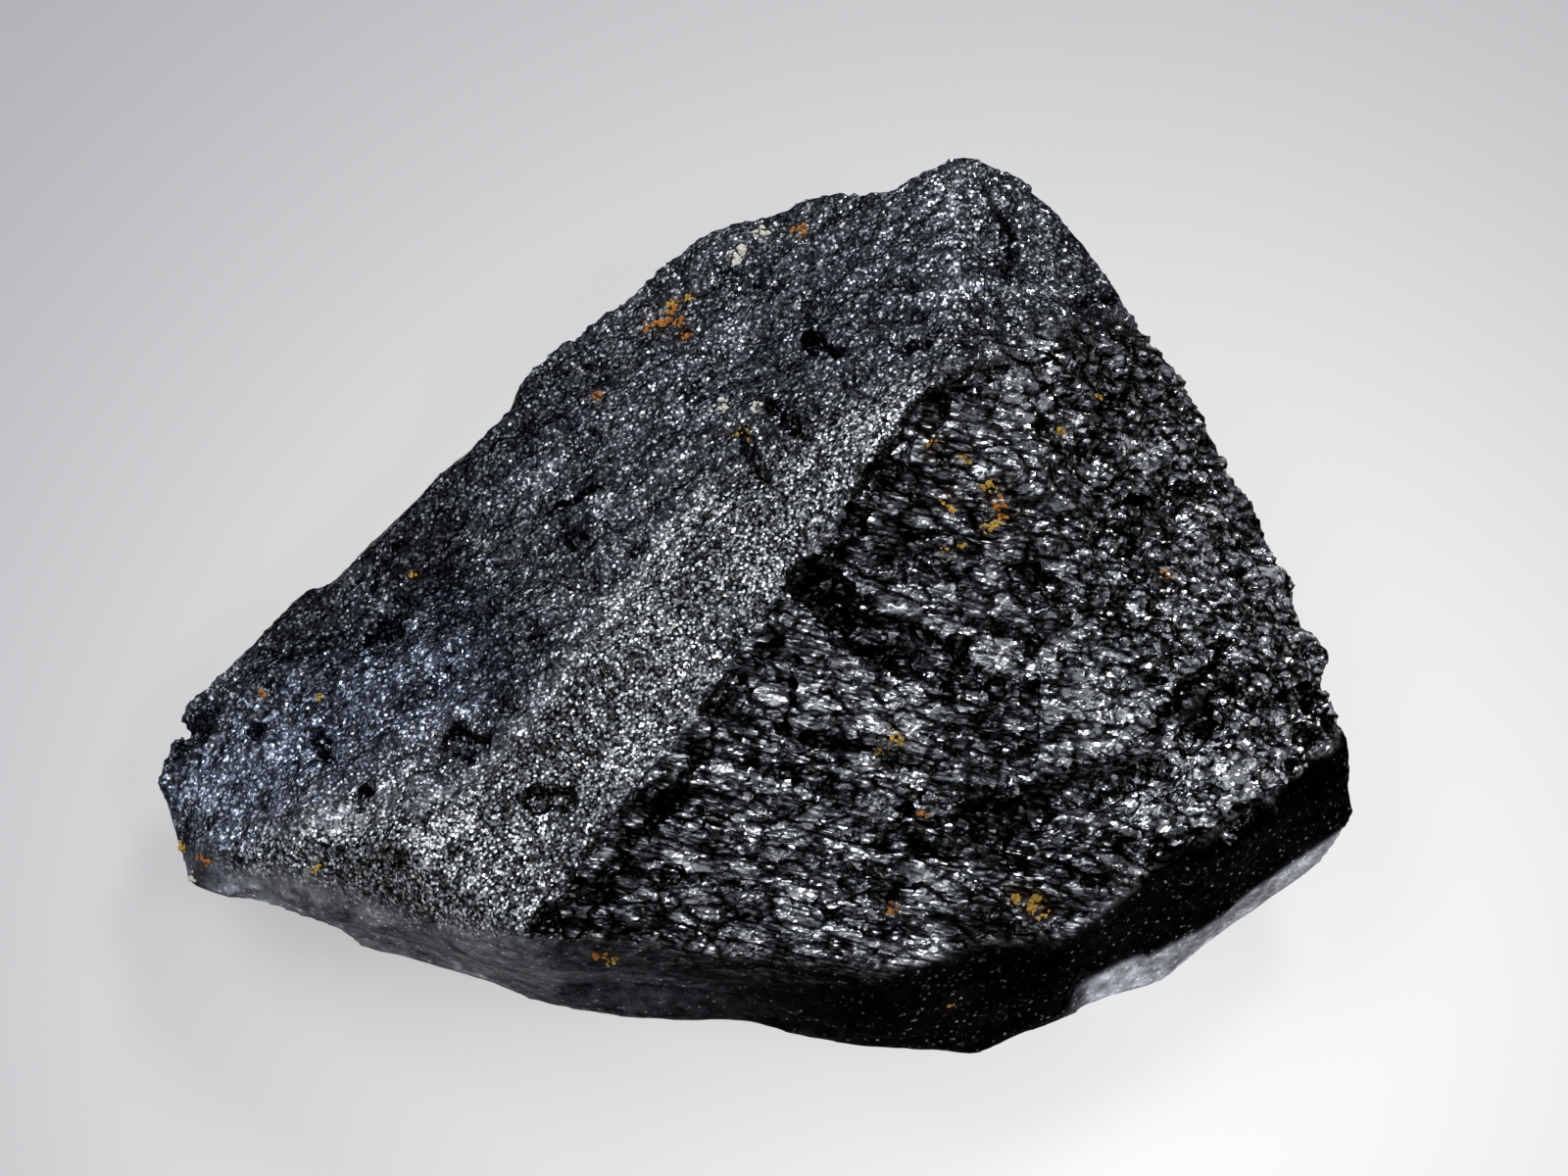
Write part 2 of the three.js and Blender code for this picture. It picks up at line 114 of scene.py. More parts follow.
# Painted highlights and painted shade: where the grain's colour is made lighter, as if turned to the light,
# and where it is made darker, as if turned away or lying in a hollow: reach, amount and path.
PAINTED_HIGHLIGHT_PLACES = [
    (1.5, 0.11, [(3.0, 2.7), (1.1, 1.2), (-1.4, -1.6), (-3.7, -5.2), (-5.0, -7.0)]),
    (0.5, 0.3, [(-1.0, 1.5), (-2.7, -0.5), (-4.3, -2.6), (-4.7, -3.3)]),
    (0.4, 0.15, [(0.9, 0.6), (-0.4, -1.2), (-2.0, -2.9), (-2.8, -4.4)]),
    (0.5, 0.45, [(-6.0, -5.4), (-6.9, -5.9)]),
    (0.9, 0.2, [(3.2, 2.9), (1.8, 2.4)]),
    (1.6, 0.15, [(-10.5, -5.5), (-7.6, -6.4), (-5.5, -7.6)]),
    (0.22, 0.35, [(3.7, 5.7), (4.8, 5.9), (5.9, 6.1), (6.9, 6.2), (8.0, 6.0)]),
    (0.5, 0.3, [(-4.6, 2.9)]),
    (0.6, 0.3, [(-7.0, -1.4)]),
    (1.0, 0.25, [(-11.6, -3.6), (-10.8, -2.9)]),
    (0.5, 0.3, [(-8.9, -5.0), (-8.4, -5.0)]),
    (0.9, 0.25, [(4.8, 7.4)]),
    (0.2, 0.5, [(4.4, 8.7)]),
    (0.2, 0.5, [(5.8, 8.2)]),
    (0.2, 0.5, [(5.9, 6.9)]),
    (0.15, 0.5, [(4.4, 6.3)]),
    (0.75, 0.5, [(8.8, -4.5), (9.6, -4.4), (10.6, -4.1)]),
    (0.5, 0.3, [(11.0, -3.4), (11.7, -2.4)]),
    (0.45, 0.5, [(6.8, -2.4), (7.2, -2.6)]),
    (0.45, 0.6, [(7.6, -3.1), (8.4, -2.8)]),
    (0.4, 0.5, [(9.2, -3.3)]),
    (0.35, 0.5, [(10.5, -1.3)]),
    (0.5, 0.35, [(6.6, -4.9), (7.2, -5.3)]),
    (0.5, 0.3, [(5.0, -2.1), (5.5, -2.2)]),
    (0.45, 0.35, [(5.1, -0.5)]),
    (1.4, 0.15, [(8.9, 2.7), (10.4, 1.3), (11.2, -0.4)]),
    (0.35, 0.35, [(-1.4, -4.6), (0.4, -4.9), (2.0, -5.2)]),
    (0.3, 0.4, [(-1.0, -5.6), (0.8, -5.9), (2.6, -6.3), (4.2, -6.5)]),
    (0.3, 0.4, [(-2.0, -6.4), (-0.2, -6.7), (1.8, -7.0), (3.6, -7.2)]),
    (0.35, 0.45, [(-0.4, -7.6), (0.9, -7.7), (2.4, -7.8), (3.8, -7.8)]),
    (0.3, 0.35, [(8.4, -5.6), (7.8, -6.7), (6.6, -7.4)]),
    (0.8, 0.25, [(0.2, -2.8), (1.6, -2.6), (3.2, -3.0)]),
    (1.6, 0.15, [(5.6, 2.6), (7.0, 1.6), (8.6, 3.4)]),
    (1.4, 0.12, [(4.4, -1.0), (6.6, -2.4), (8.6, -3.4)]),
    (2.2, 0.1, [(8.4, 1.5), (9.6, -1.0), (8.4, -3.6)]),
    (0.9, 0.2, [(8.6, -4.4), (10.4, -3.9)]),
    (1.0, 0.3, [(3.0, -4.2), (4.2, -4.4), (5.0, -5.2)]),
    (0.5, 0.3, [(6.6, -3.9), (8.0, -3.4)]),
    (2.4, 0.16, [(-11.0, -3.8), (-9.4, -3.6), (-7.0, -3.8)]),
    (1.6, 0.15, [(4.4, 8.2), (5.8, 7.4)]),
    (0.7, 0.15, [(2.0, -1.0), (3.4, -1.6)]),
]
# Painted shade, darkest in the hollow at the left tip.
PAINTED_SHADE_PLACES = [
    (1.6, 0.3, [(-5.0, 5.2), (-7.6, 2.0), (-10.0, 0.0)]),
    (1.0, 0.25, [(-7.2, 1.4), (-5.3, -1.4), (-4.6, -3.4)]),
    (1.2, 0.35, [(-2.9, -6.4), (-1.6, -5.6)]),
    (1.0, 0.3, [(-3.9, -7.7), (-0.8, -8.2), (2.0, -8.5)]),
    (0.6, 0.2, [(4.0, 2.6), (3.0, 0.6), (2.4, -0.8)]),
    (0.7, 0.35, [(3.6, -5.6), (5.6, -5.6), (7.6, -6.0)]),
    (0.9, 0.5, [(5.0, -7.6), (6.0, -7.6)]),
    (1.0, 0.3, [(7.2, 2.2), (8.4, 0.8)]),
    (0.7, 0.3, [(7.4, 3.9), (8.6, 3.7)]),
    (0.5, 0.35, [(4.0, -4.6), (6.2, -4.9)]),
    (0.7, 0.8, [(-12.3, -2.1)]),
    (1.2, 0.2, [(4.6, 1.8), (6.0, 1.2)]),
    (0.9, 0.12, [(8.2, 4.6), (10.2, 2.6)]),
]
# Painted reflection: where the grain's colour is tinted bluish, as if it mirrored cool daylight: reach,
# amount and path.
PAINTED_BLUE_REFLECTION_PLACES = [
    (2.4, 0.8, [(-11.8, -3.4), (-9.5, -2.4), (-7.0, -1.2)]),
    (2.6, 0.15, [(-4.6, 3.0), (-0.5, 6.0), (3.0, 7.0)]),
]

# Depth of the deepest cleft, in mm, how much painted shade a cleft puts on the grain at most, and the edge
# length of the fine mesh.
DEEPEST = 0.5
PAINTED_CLEFT_SHADE = 0.3
VOXEL = 0.118 * MM

# Painted light on the grain, from 0 to 1, where no place says more, the painted light at which its colours
# stay as they are, how many times brighter the painted light makes them at 1 than at 0, and the brightest
# colour it may have.
NEUTRAL_PAINTED_LIGHT = 0.5
UNCHANGED_PAINTED_LIGHT = 0.47
PAINTED_LIGHT_SPAN = 16.0
BRIGHTEST = 0.9

# Crumbs on the crystal: place seen from above and size in mm.
RUST_CRUMBS = [
    (-2.0, 6.5, 0.3), (-1.75, 6.75, 0.22), (-1.6, 6.3, 0.2), (-2.3, 6.4, 0.16), (-1.5, 5.9, 0.16),
    (-3.4, 4.7, 0.14), (3.8, 2.3, 0.2), (5.25, 1.2, 0.18), (5.25, 0.9, 0.16), (-3.2, -8.15, 0.2),
    (-11.9, -5.1, 0.22), (3.6, -5.2, 0.15), (1.0, 8.05, 0.2), (-10.7, -1.5, 0.14),
    (3.0, -7.0, 0.16), (8.8, 0.1, 0.12),
]
OCHRE_CRUMBS = [
    (-0.3, 3.1, 0.18), (4.5, 2.1, 0.14), (4.1, 1.1, 0.18), (4.1, 0.1, 0.14), (4.4, 0.15, 0.1),
    (6.6, 2.9, 0.14), (5.0, 1.5, 0.2), (5.15, 0.7, 0.16), (4.95, 0.6, 0.14), (3.0, -3.7, 0.2),
    (2.7, -3.9, 0.12), (5.6, -6.7, 0.18), (5.9, -6.75, 0.24), (6.1, -6.95, 0.2),
    (-2.95, -8.2, 0.16), (-1.8, 6.9, 0.14), (-1.4, 6.95, 0.13), (7.4, 3.8, 0.1), (-7.4, 1.0, 0.12),
    (-9.4, -1.8, 0.12), (-12.4, -4.6, 0.2), (-9.3, -5.9, 0.14), (4.2, -8.7, 0.1),
]
CLAY_CRUMBS = [
    (-0.4, 7.8, 0.3), (0.2, 8.2, 0.22), (-0.7, 3.8, 0.28), (0.1, 3.65, 0.18), (-12.2, -5.3, 0.16),
]
LUMPS_PER_CRUMB = 8

# A height over the whole crystal, in mm.
ABOVE_ALL = 20


# Shared helpers


def linear(colour):
    """An sRGB hex colour as linear RGBA."""
    parts = [int(colour[i:i + 2], 16) / 255 for i in (1, 3, 5)]
    return [c / 12.92 if c <= 0.04045 else ((c + 0.055) / 1.055) ** 2.4 for c in parts] + [1.0]


def add(tree, kind, inputs=None, **settings):
    """Adds a shader node. Each input is a value, another node's output to link, or another node, whose
    first output in use is linked."""
    made = tree.nodes.new(kind)
    for name, value in settings.items():
        setattr(made, name, value)
    for name, value in (inputs or {}).items():
        if isinstance(value, bpy.types.Node):
            value = next(output for output in value.outputs if output.enabled)
        if isinstance(value, bpy.types.NodeSocket):
            tree.links.new(value, made.inputs[name])
        else:
            made.inputs[name].default_value = value
    return made


def new_material(name):
    material = bpy.data.materials.new(name)
    material.use_nodes = True
    material.node_tree.nodes.clear()
    return material


def select_only(obj):
    bpy.ops.object.select_all(action="DESELECT")
    obj.select_set(True)
    bpy.context.view_layer.objects.active = obj


def apply_modifier(obj, kind, **settings):
    select_only(obj)
    modifier = obj.modifiers.new(kind, kind)
    for name, value in settings.items():
        setattr(modifier, name, value)
    bpy.ops.object.modifier_apply(modifier=modifier.name)


def ramp_up(low, high, value):
    """0 at low, 1 at high, smooth between."""
    t = min(1.0, max(0.0, (value - low) / (high - low)))
    return t * t * (3 - 2 * t)


def left_of(path, point):
    """How far a point lies to the left of a path in mm, seen from above. It is negative on the right."""
    nearest = None
    for start, end in zip(path, path[1:]):
        run = Vector(end) - Vector(start)
        away = point.to_2d() - Vector(start)
        share = min(1.0, max(0.0, away.dot(run) / run.length_squared))
        gap = (away - run * share).length
        if nearest is None or gap < abs(nearest):
            nearest = math.copysign(gap, run.x * away.y - run.y * away.x)
    return nearest


# The crystal


def fine_copy(cad_node):
    """A copy of the solid with an even mesh that is fine enough for its relief."""
    copy = cad_node.copy()
    copy.data = cad_node.data.copy()
    copy.name = "crystal_surface"
    bpy.context.scene.collection.objects.link(copy)
    select_only(copy)
    bpy.ops.object.mode_set(mode="EDIT")
    bpy.ops.mesh.select_all(action="SELECT")
    bpy.ops.mesh.remove_doubles(threshold=0.002 * MM)
    bpy.ops.object.mode_set(mode="OBJECT")
    bpy.ops.object.transform_apply(location=True, rotation=True, scale=True)
    apply_modifier(copy, "REMESH", mode="VOXEL", voxel_size=VOXEL, use_smooth_shade=False)
    return copy


def face_weights(place, normal):
    """How much a point belongs to each kind of surface. Each ramp is the width of a border, in mm or, for
    a normal, in slope."""
    lifted = ramp_up(0.2, 1.2, place.z)
    upward = ramp_up(0.2, 0.55, normal.z)
    # The ledged face ends sharply at the ridge and softly at the crown.
    softness = 0.12 if place.x < APEX.x else 0.6
    right = ramp_up(softness, -softness, left_of(RIDGE_AND_CROWN, place))
    below_edge = ramp_up(0.2, -0.2, left_of(FRONT_EDGE, place))
    front = max(ramp_up(0.1, 0.4, -normal.y) * (1 - upward), below_edge)
    ledged = upward * (1 - below_edge) * right
    # The bevel glitters, and so does the strip above the front on the left.
    inside_glitter = ramp_up(0.6, -0.3, left_of(GLITTER_EDGE, place))
    near_foot = ramp_up(-4.2, -5.4, place.y + 0.3 * noise.noise(place)) * ramp_up(-2.0, -5.0, place.x)
    glittering = upward * (1 - below_edge) * (1 - right) * max(inside_glitter, near_foot)
    sugary = max(0.0, upward * (1 - below_edge) - ledged - glittering)
    back = (1 - upward) * (1 - front)
    # The ledged face grows coarse towards its right rim.
    coarse = ledged * ramp_up(5.2, 7.5, place.x + 0.25 * place.y + 0.6 * noise.noise(place))
    weights = {
        "ledged": ledged * (1 - 0.6 * coarse),
        "coarse": coarse,
        "glittering": glittering,
        "sugary": sugary,
        "grainy_back": 0.4 * back,
        "smooth": front * ramp_up(2.8, 3.4, place.z),
        "rough_back": back,
    }
    return {name: weight * lifted for name, weight in weights.items()} | {"lifted": lifted}


def near_path(finder, path, reach):
    """How near the mesh points lie to a path, seen from above: 1 on it, down to 0 at its reach."""
    nearness = {}
    for start, end in zip(path, path[1:] or path):
        run = Vector(end) - Vector(start)
        steps = max(1, math.ceil(run.length / (0.4 * reach)))
        for step in range(steps + 1):
            at = Vector(start) + run * step / steps
            for _, index, distance in finder.find_range((*at, 0), reach):
                nearness[index] = max(nearness.get(index, 0.0), 1 - distance / reach)
    return nearness


def gather(finder, places, spots, waviness, sharp=False):
    """Adds up the amounts of all places at each mesh point. Their borders are wavy, by large waves of
    0.45 mm and small ones of 0.2 mm."""
    low, high = (0.15, 0.5) if sharp else (0.1, 0.75)
    amounts = {}
    for reach, amount, path in places:
        for index, nearness in near_path(finder, path, reach * 1.3).items():
            large_waves = noise.noise(spots[index] / 0.45)
            small_waves = noise.noise(spots[index] / 0.2)
            wave = waviness * large_waves + 0.5 * waviness * small_waves
            share = ramp_up(low, high, nearness + wave)
            amounts[index] = amounts.get(index, 0.0) + amount * share
    return amounts


def mark_faces(obj):
    """Vertex groups and colour attributes that say what kind of surface each point belongs to, and the
    painted light, painted shade, painted reflection and stains on its grain."""
    mesh = obj.data
    spots = [vertex.co / MM for vertex in mesh.vertices]
    finder = kdtree.KDTree(len(spots))
    for index, spot in enumerate(spots):
        if mesh.vertices[index].normal.z > 0:
            finder.insert((spot.x, spot.y, 0), index)
    finder.balance()
    sunken = gather(finder, CLEFTS, spots, 0.4, sharp=True)
    painted_highlight = gather(finder, PAINTED_HIGHLIGHT_PLACES, spots, 0.6)
    painted_shade = gather(finder, PAINTED_SHADE_PLACES, spots, 0.6)
    painted_blue_reflection = gather(finder, PAINTED_BLUE_REFLECTION_PLACES, spots, 0.4)
    stains = [(size * 1.6, 1.0, [(x, y)]) for x, y, size in RUST_CRUMBS + OCHRE_CRUMBS]
    stained = gather(finder, stains, spots, 0.5)
    groups = {}
    kinds, lights = [], []
    for vertex, spot in zip(mesh.vertices, spots):
        index = vertex.index
        weights = face_weights(spot, vertex.normal)
        on_top = ramp_up(0.25, 0.55, vertex.normal.z)
        sink = sunken.get(index, 0.0) * on_top
        weights["sunken"] = min(1.0, sink / DEEPEST)
        for name, weight in weights.items():
            group = groups.get(name) or groups.setdefault(name, obj.vertex_groups.new(name=name))
            if weight > 0.01:
                group.add([index], weight, "REPLACE")
        # The low facet at the right gets a painted pale reflection and full painted light, and the front gets
        # more painted reflection towards its left.
        low_facet = ramp_up(6.5, 7.5, spot.x) * ramp_up(3.3, 3.0, spot.z)
        painted_pale_reflection = max(low_facet, ramp_up(3.0, -7.5, spot.x))
        # Painted light: lighter at the painted highlights, darker at the painted shade, and with painted
        # shade in the clefts.
        painted_light = NEUTRAL_PAINTED_LIGHT + painted_highlight.get(index, 0.0) - painted_shade.get(index, 0.0) - min(PAINTED_CLEFT_SHADE, sink)
        painted_light = painted_light * (1 - low_facet) + low_facet
        sugar = weights["sugary"] + weights["grainy_back"]
        kinds += [weights["ledged"], weights["glittering"], sugar, weights["coarse"]]
        stain = min(1.0, stained.get(index, 0.0)) * on_top
        lights += [min(1.0, max(0.0, painted_light)), painted_blue_reflection.get(index, 0.0), stain, painted_pale_reflection]
    mesh.attributes.new("surface_kind", "FLOAT_COLOR", "POINT").data.foreach_set("color", kinds)
    mesh.attributes.new("painted_light_and_stain", "FLOAT_COLOR", "POINT").data.foreach_set("color", lights)


def guide(along, across, sizes):
    """An empty that turns and stretches a texture: its sizes in mm lie along, across and out of a face."""
    x = Vector(along).normalized()
    z = x.cross(Vector(across)).normalized()
    y = z.cross(x)
    turned = Matrix((x, y, z)).transposed().to_4x4()
    empty = bpy.data.objects.new("guide", None)
    empty.matrix_world = turned @ Matrix.Diagonal((*[size * MM for size in sizes], 1))
    bpy.context.scene.collection.objects.link(empty)
    bpy.context.view_layer.update()
    return empty


def cloud(name, depth, steps=None):
    """Soft lumps. Steps turn them into terraces: pairs of a height in the lumps and a height of the ledge."""
    texture = bpy.data.textures.new(name, "CLOUDS")
    texture.noise_scale = 1.0
    texture.noise_depth = depth
    if steps:
        texture.use_color_ramp = True
        elements = texture.color_ramp.elements
        while len(elements) > 1:
            elements.remove(elements[-1])
        elements[0].position = steps[0][0]
        elements[0].color = (steps[0][1],) * 3 + (1,)
        for position, height in steps[1:]:
            elements.new(position).color = (height,) * 3 + (1,)
    return texture


def grains(name):
    """Cells with sharp rims, each low in its middle."""
    texture = bpy.data.textures.new(name, "VORONOI")
    texture.noise_scale = 1.0
    texture.noise_intensity = 1.3
    texture.distance_metric = "DISTANCE"
    return texture


def raise_relief(obj, texture, empty, height, group, middle):
    """Moves the surface by a texture: height is in mm from its darkest to its lightest. The brightness
    in the middle leaves the surface where it is."""
    apply_modifier(
        obj,
        "DISPLACE",
        texture=texture,
        texture_coords="OBJECT",
        texture_coords_object=empty,
        strength=height * MM,
        mid_level=middle,
        vertex_group=group,
        direction="NORMAL",
    )
    bpy.data.objects.remove(empty)


def shape_crystal(cad_node):
    """The crystal's fine mesh with its clefts, ledges, growth lines, lumps and pits."""
    crystal = fine_copy(cad_node)
    mark_faces(crystal)
    apply_modifier(crystal, "DISPLACE", strength=-DEEPEST * MM, mid_level=0, vertex_group="sunken")
    terraces = [
        (0.0, 0.0), (0.36, 0.05), (0.39, 0.3), (0.47, 0.36), (0.5, 0.62), (0.58, 0.68),
        (0.61, 0.95), (1.0, 1.0),
    ]
    pits = [(0.0, 0.0), (0.26, 0.1), (0.36, 1.0), (1.0, 1.0)]
    # Directions that the lumps run along and across: level, along the growth lines, along the front,
    # along the ridge, and fanning from the apex.
    level = ((1, 0, 0), (0, 1, 0))
    growth = (GROWTH_LINE, DOWN_FACE)
    front = ((1, -0.12, -0.1), (0, 0.2, 1))
    ridge = (APEX - RIDGE_FOOT, (-1, 1, 0))
    fan = ((0.85, 0.5, 0.1), (-0.5, 0.85, 0))
    # Texture, its directions and its sizes along, across and outward, the height of the relief, and where.
    reliefs = [
        (cloud("unevenness", 3), level, (1.6, 1.6, 1.6), 0.14, "lifted"),
        (cloud("ledges", 2, terraces), growth, (2.2, 0.5, 1.0), 0.4, "ledged"),
        (cloud("growth_lines", 2), growth, (2.0, 0.17, 0.6), 0.2, "ledged"),
        (cloud("blocks", 2, terraces), growth, (0.8, 0.5, 0.8), 0.26, "coarse"),
        (grains("block_grains"), growth, (0.5, 0.35, 0.4), 0.12, "coarse"),
        (cloud("front_lines", 2), front, (2.5, 0.3, 0.3), 0.1, "smooth"),
        (cloud("streaks", 2), ridge, (2.6, 0.4, 0.6), 0.14, "glittering"),
        (cloud("fan_lines", 3), fan, (2.2, 0.5, 0.8), 0.2, "sugary"),
        (cloud("pits", 3, pits), level, (0.8, 0.8, 0.8), 0.16, "sugary"),
        (grains("grains"), level, (0.36, 0.36, 0.36), 0.1, "sugary"),
        (grains("fine_grains"), level, (0.3, 0.3, 0.3), 0.07, "glittering"),
        (cloud("broken_back", 4), level, (1.2, 1.2, 0.7), 0.3, "rough_back"),
    ]
    for texture, directions, sizes, height, group in reliefs:
        # Pits only go inward, and the rest goes both ways.
        middle = 1.0 if texture.name == "pits" else 0.5
        raise_relief(crystal, texture, guide(*directions, sizes), height, group, middle)
    bpy.ops.object.shade_flat()
    return crystal


def tapiolite():
    """Tapiolite, a black iron tantalum oxide grown as tiny facets. It has a dark metallic lustre, so each
    facet that is turned to the light glints and the rest stays black."""
    material = new_material("tapiolite, finely crystalline black oxide")
    tree = material.node_tree
    place = add(tree, "ShaderNodeTexCoord").outputs["Object"]

    def channels(layer):
        """The four numbers of a colour attribute."""
        stored = add(tree, "ShaderNodeVertexColor", layer_name=layer)
        parts = add(tree, "ShaderNodeSeparateColor", {"Color": stored.outputs["Color"]}).outputs
        return [*parts[:3], stored.outputs["Alpha"]]

    def along_growth(vector, size, stretch):
        """Places counted in cells of a size in mm, stretched along the growth lines, across and outward."""
        return add(tree, "ShaderNodeMapping", {
            "Vector": vector, "Rotation": GROWTH_TURN, "Scale": [size * MM * s for s in stretch],
        }, vector_type="TEXTURE")

    def facets(size, stretch):
        """Tiny facets of a size in mm: how each leans, its chance to shine, and how near a gap is."""
        cells = along_growth(place, size, stretch)
        cell = add(tree, "ShaderNodeTexVoronoi", {"Vector": cells, "Scale": 1.0}).outputs
        lean = add(tree, "ShaderNodeVectorMath", {0: cell["Color"], 1: (0.5,) * 3}, operation="SUBTRACT")
        chance = add(tree, "ShaderNodeTexWhiteNoise", {"Vector": cell["Position"]})
        gap = add(tree, "ShaderNodeMapRange", {"Value": cell["Distance"], "From Min": 0.35, "From Max": 0.85})
        return lean, chance, gap

    def tinted(chance, gap, dull, shiny, rarity, gap_shade_lightness):
        """The colour of facets. Shiny ones are rarer as rarity grows, and gaps between them get painted
        shade.
        """
        shine = add(tree, "ShaderNodeMath", {0: chance, 1: rarity}, operation="POWER")
        facet_colour = add(tree, "ShaderNodeMix", {
            "Factor": shine, 6: linear(dull), 7: linear(shiny),
        }, data_type="RGBA")
        painted_gap_shade = add(tree, "ShaderNodeMath", {0: gap, 1: 1 - gap_shade_lightness}, operation="MULTIPLY")
        return add(tree, "ShaderNodeMix", {
            "Factor": painted_gap_shade, 6: facet_colour, 7: linear("#020202"),
        }, data_type="RGBA")

    def drift(size, stretch):
        """Slow changes in how bright the grain is, centred on 0. The size is in mm."""
        cells = along_growth(place, size, stretch)
        lumps = add(tree, "ShaderNodeTexNoise", {"Vector": cells, "Scale": 1.0, "Detail": 3.0})
        return add(tree, "ShaderNodeMath", {0: lumps.outputs["Fac"], 1: 0.5}, operation="SUBTRACT")

    def plates(size, stretch, half_width):
        """Plates parted by thin cracks, in mm: 1 in the middle of a crack, where painted shade goes, and how
        bright each plate is painted, as if leaning to or from the light, centred on 0."""
        wobble = add(tree, "ShaderNodeTexNoise", {"Vector": place, "Scale": 1 / (0.35 * MM), "Detail": 2.0})
        shifted = add(tree, "ShaderNodeVectorMath", {
            0: wobble.outputs["Color"], 1: (0.3 * MM,) * 3, 2: place,
        }, operation="MULTIPLY_ADD")
        cells = {"Vector": along_growth(shifted, size, stretch), "Scale": 1.0}
        edge = add(tree, "ShaderNodeTexVoronoi", cells, feature="DISTANCE_TO_EDGE").outputs["Distance"]
        crack_shade = add(tree, "ShaderNodeMapRange", {
            "Value": edge, "From Min": half_width / size, "From Max": 0.2 * half_width / size,
        })
        own = add(tree, "ShaderNodeTexVoronoi", cells).outputs["Position"]
        chance = add(tree, "ShaderNodeTexWhiteNoise", {"Vector": own})
        return crack_shade, add(tree, "ShaderNodeMath", {0: chance, 1: 0.5}, operation="SUBTRACT")

    def leaning(normal, lean, share, slope):
        """A normal turned aside by a facet's lean, where its share of the surface says so."""
        amount = add(tree, "ShaderNodeMath", {0: share, 1: slope}, operation="MULTIPLY")
        aside = add(tree, "ShaderNodeVectorMath", {0: lean, "Scale": amount}, operation="SCALE")
        return add(tree, "ShaderNodeVectorMath", {0: normal, 1: aside}, operation="ADD")

    ledged, glittering, sugary, coarse = channels("surface_kind")
    painted_light, painted_blue_reflection, stained, painted_pale_reflection = channels("painted_light_and_stain")
    bladed = add(tree, "ShaderNodeMath", {0: ledged, 1: coarse}, operation="ADD")
    grainy = add(tree, "ShaderNodeMath", {0: glittering, 1: sugary}, operation="ADD")
    grainy = add(tree, "ShaderNodeMath", {0: bladed, 1: grainy}, operation="ADD")
    smooth = add(tree, "ShaderNodeMath", {0: 1.0, 1: grainy}, operation="SUBTRACT")
    fine = facets(0.06, (1, 1, 1))
    blades = facets(0.058, (5, 1, 1))
    blocky = facets(0.11, (1.4, 1, 1))
    # Where, facets, how much they lean, and their dull and shiny colours, rarity and lightness of the painted
    # shade in their gaps.
    surfaces = [
        (sugary, fine, 0.55, ("#303236", "#d8dbe0", 6.5, 0.45)),
        (glittering, fine, 0.7, ("#111112", "#cccecf", 2.7, 0.15)),
        (ledged, blades, 0.5, ("#28292c", "#d0d2d6", 1.5, 0.15)),
        (coarse, blocky, 0.7, ("#202124", "#d8dadc", 1.5, 0.15)),
    ]
    # The front and the low facet are smooth and dark, with a painted pale reflection on the low facet and
    # towards the left of the front, and a few fine glints.
    lean, chance, gap = fine
    smooth_colour_with_painted_reflection = add(tree, "ShaderNodeMix", {
        "Factor": painted_pale_reflection, 6: linear("#0c0c0e"), 7: linear("#55565a"),
    }, data_type="RGBA")
    glints = tinted(chance, gap, "#000000", "#909090", 50.0, 0.15)
    colour = add(tree, "ShaderNodeVectorMath", {0: smooth_colour_with_painted_reflection, 1: glints}, operation="ADD")
    face_normal = add(tree, "ShaderNodeNewGeometry").outputs["Normal"]
    normal = leaning(face_normal, lean, smooth, 0.3)
    for share, (lean, chance, gap), slope, look in surfaces:
        facet_colour = tinted(chance, gap, *look)
        colour = add(tree, "ShaderNodeMix", {"Factor": share, 6: colour, 7: facet_colour}, data_type="RGBA")
        normal = leaning(normal, lean, share, slope)
    facet = add(tree, "ShaderNodeVectorMath", {0: normal}, operation="NORMALIZE")
    # Painted highlights and painted shade in rows and plates on the bladed faces, painted shade in their
    # cracks, and soft random patches on the others.
    crack_shade, painted_plate_light = plates(0.45, (2.2, 1, 1.5), 0.055)
    painted_rows = add(tree, "ShaderNodeMath", {0: drift(0.16, (8, 1, 1)), 1: 1.3, 2: 0.19}, operation="MULTIPLY_ADD")
    painted_rows = add(tree, "ShaderNodeMath", {0: crack_shade, 1: -0.9, 2: painted_rows}, operation="MULTIPLY_ADD")
    painted_rows = add(tree, "ShaderNodeMath", {0: painted_plate_light, 1: 0.35, 2: painted_rows}, operation="MULTIPLY_ADD")
    large, small = drift(1.1, (1, 1, 1)), drift(0.3, (1, 1, 1))
    patches = add(tree, "ShaderNodeMath", {0: large, 1: 0.9, 2: small}, operation="MULTIPLY_ADD")
    painted_rows_and_random_patches = add(tree, "ShaderNodeMix", {"Factor": bladed, 6: patches, 7: painted_rows}, data_type="RGBA")
    # Painted light and shade: the colour is made brighter or darker by the painted light from the mesh and by
    # the painted rows, plates and cracks.
    painted_brightness = add(tree, "ShaderNodeMath", {0: painted_light, 1: UNCHANGED_PAINTED_LIGHT}, operation="SUBTRACT")
    painted_brightness = add(tree, "ShaderNodeMath", {0: painted_brightness, 1: painted_rows_and_random_patches}, operation="ADD")
    painted_light_gain = add(tree, "ShaderNodeMath", {0: PAINTED_LIGHT_SPAN, 1: painted_brightness}, operation="POWER")
    colour = add(tree, "ShaderNodeVectorMath", {0: colour, 1: painted_light_gain}, operation="MULTIPLY")
    colour = add(tree, "ShaderNodeVectorMath", {0: colour, 1: (BRIGHTEST,) * 3}, operation="MINIMUM")
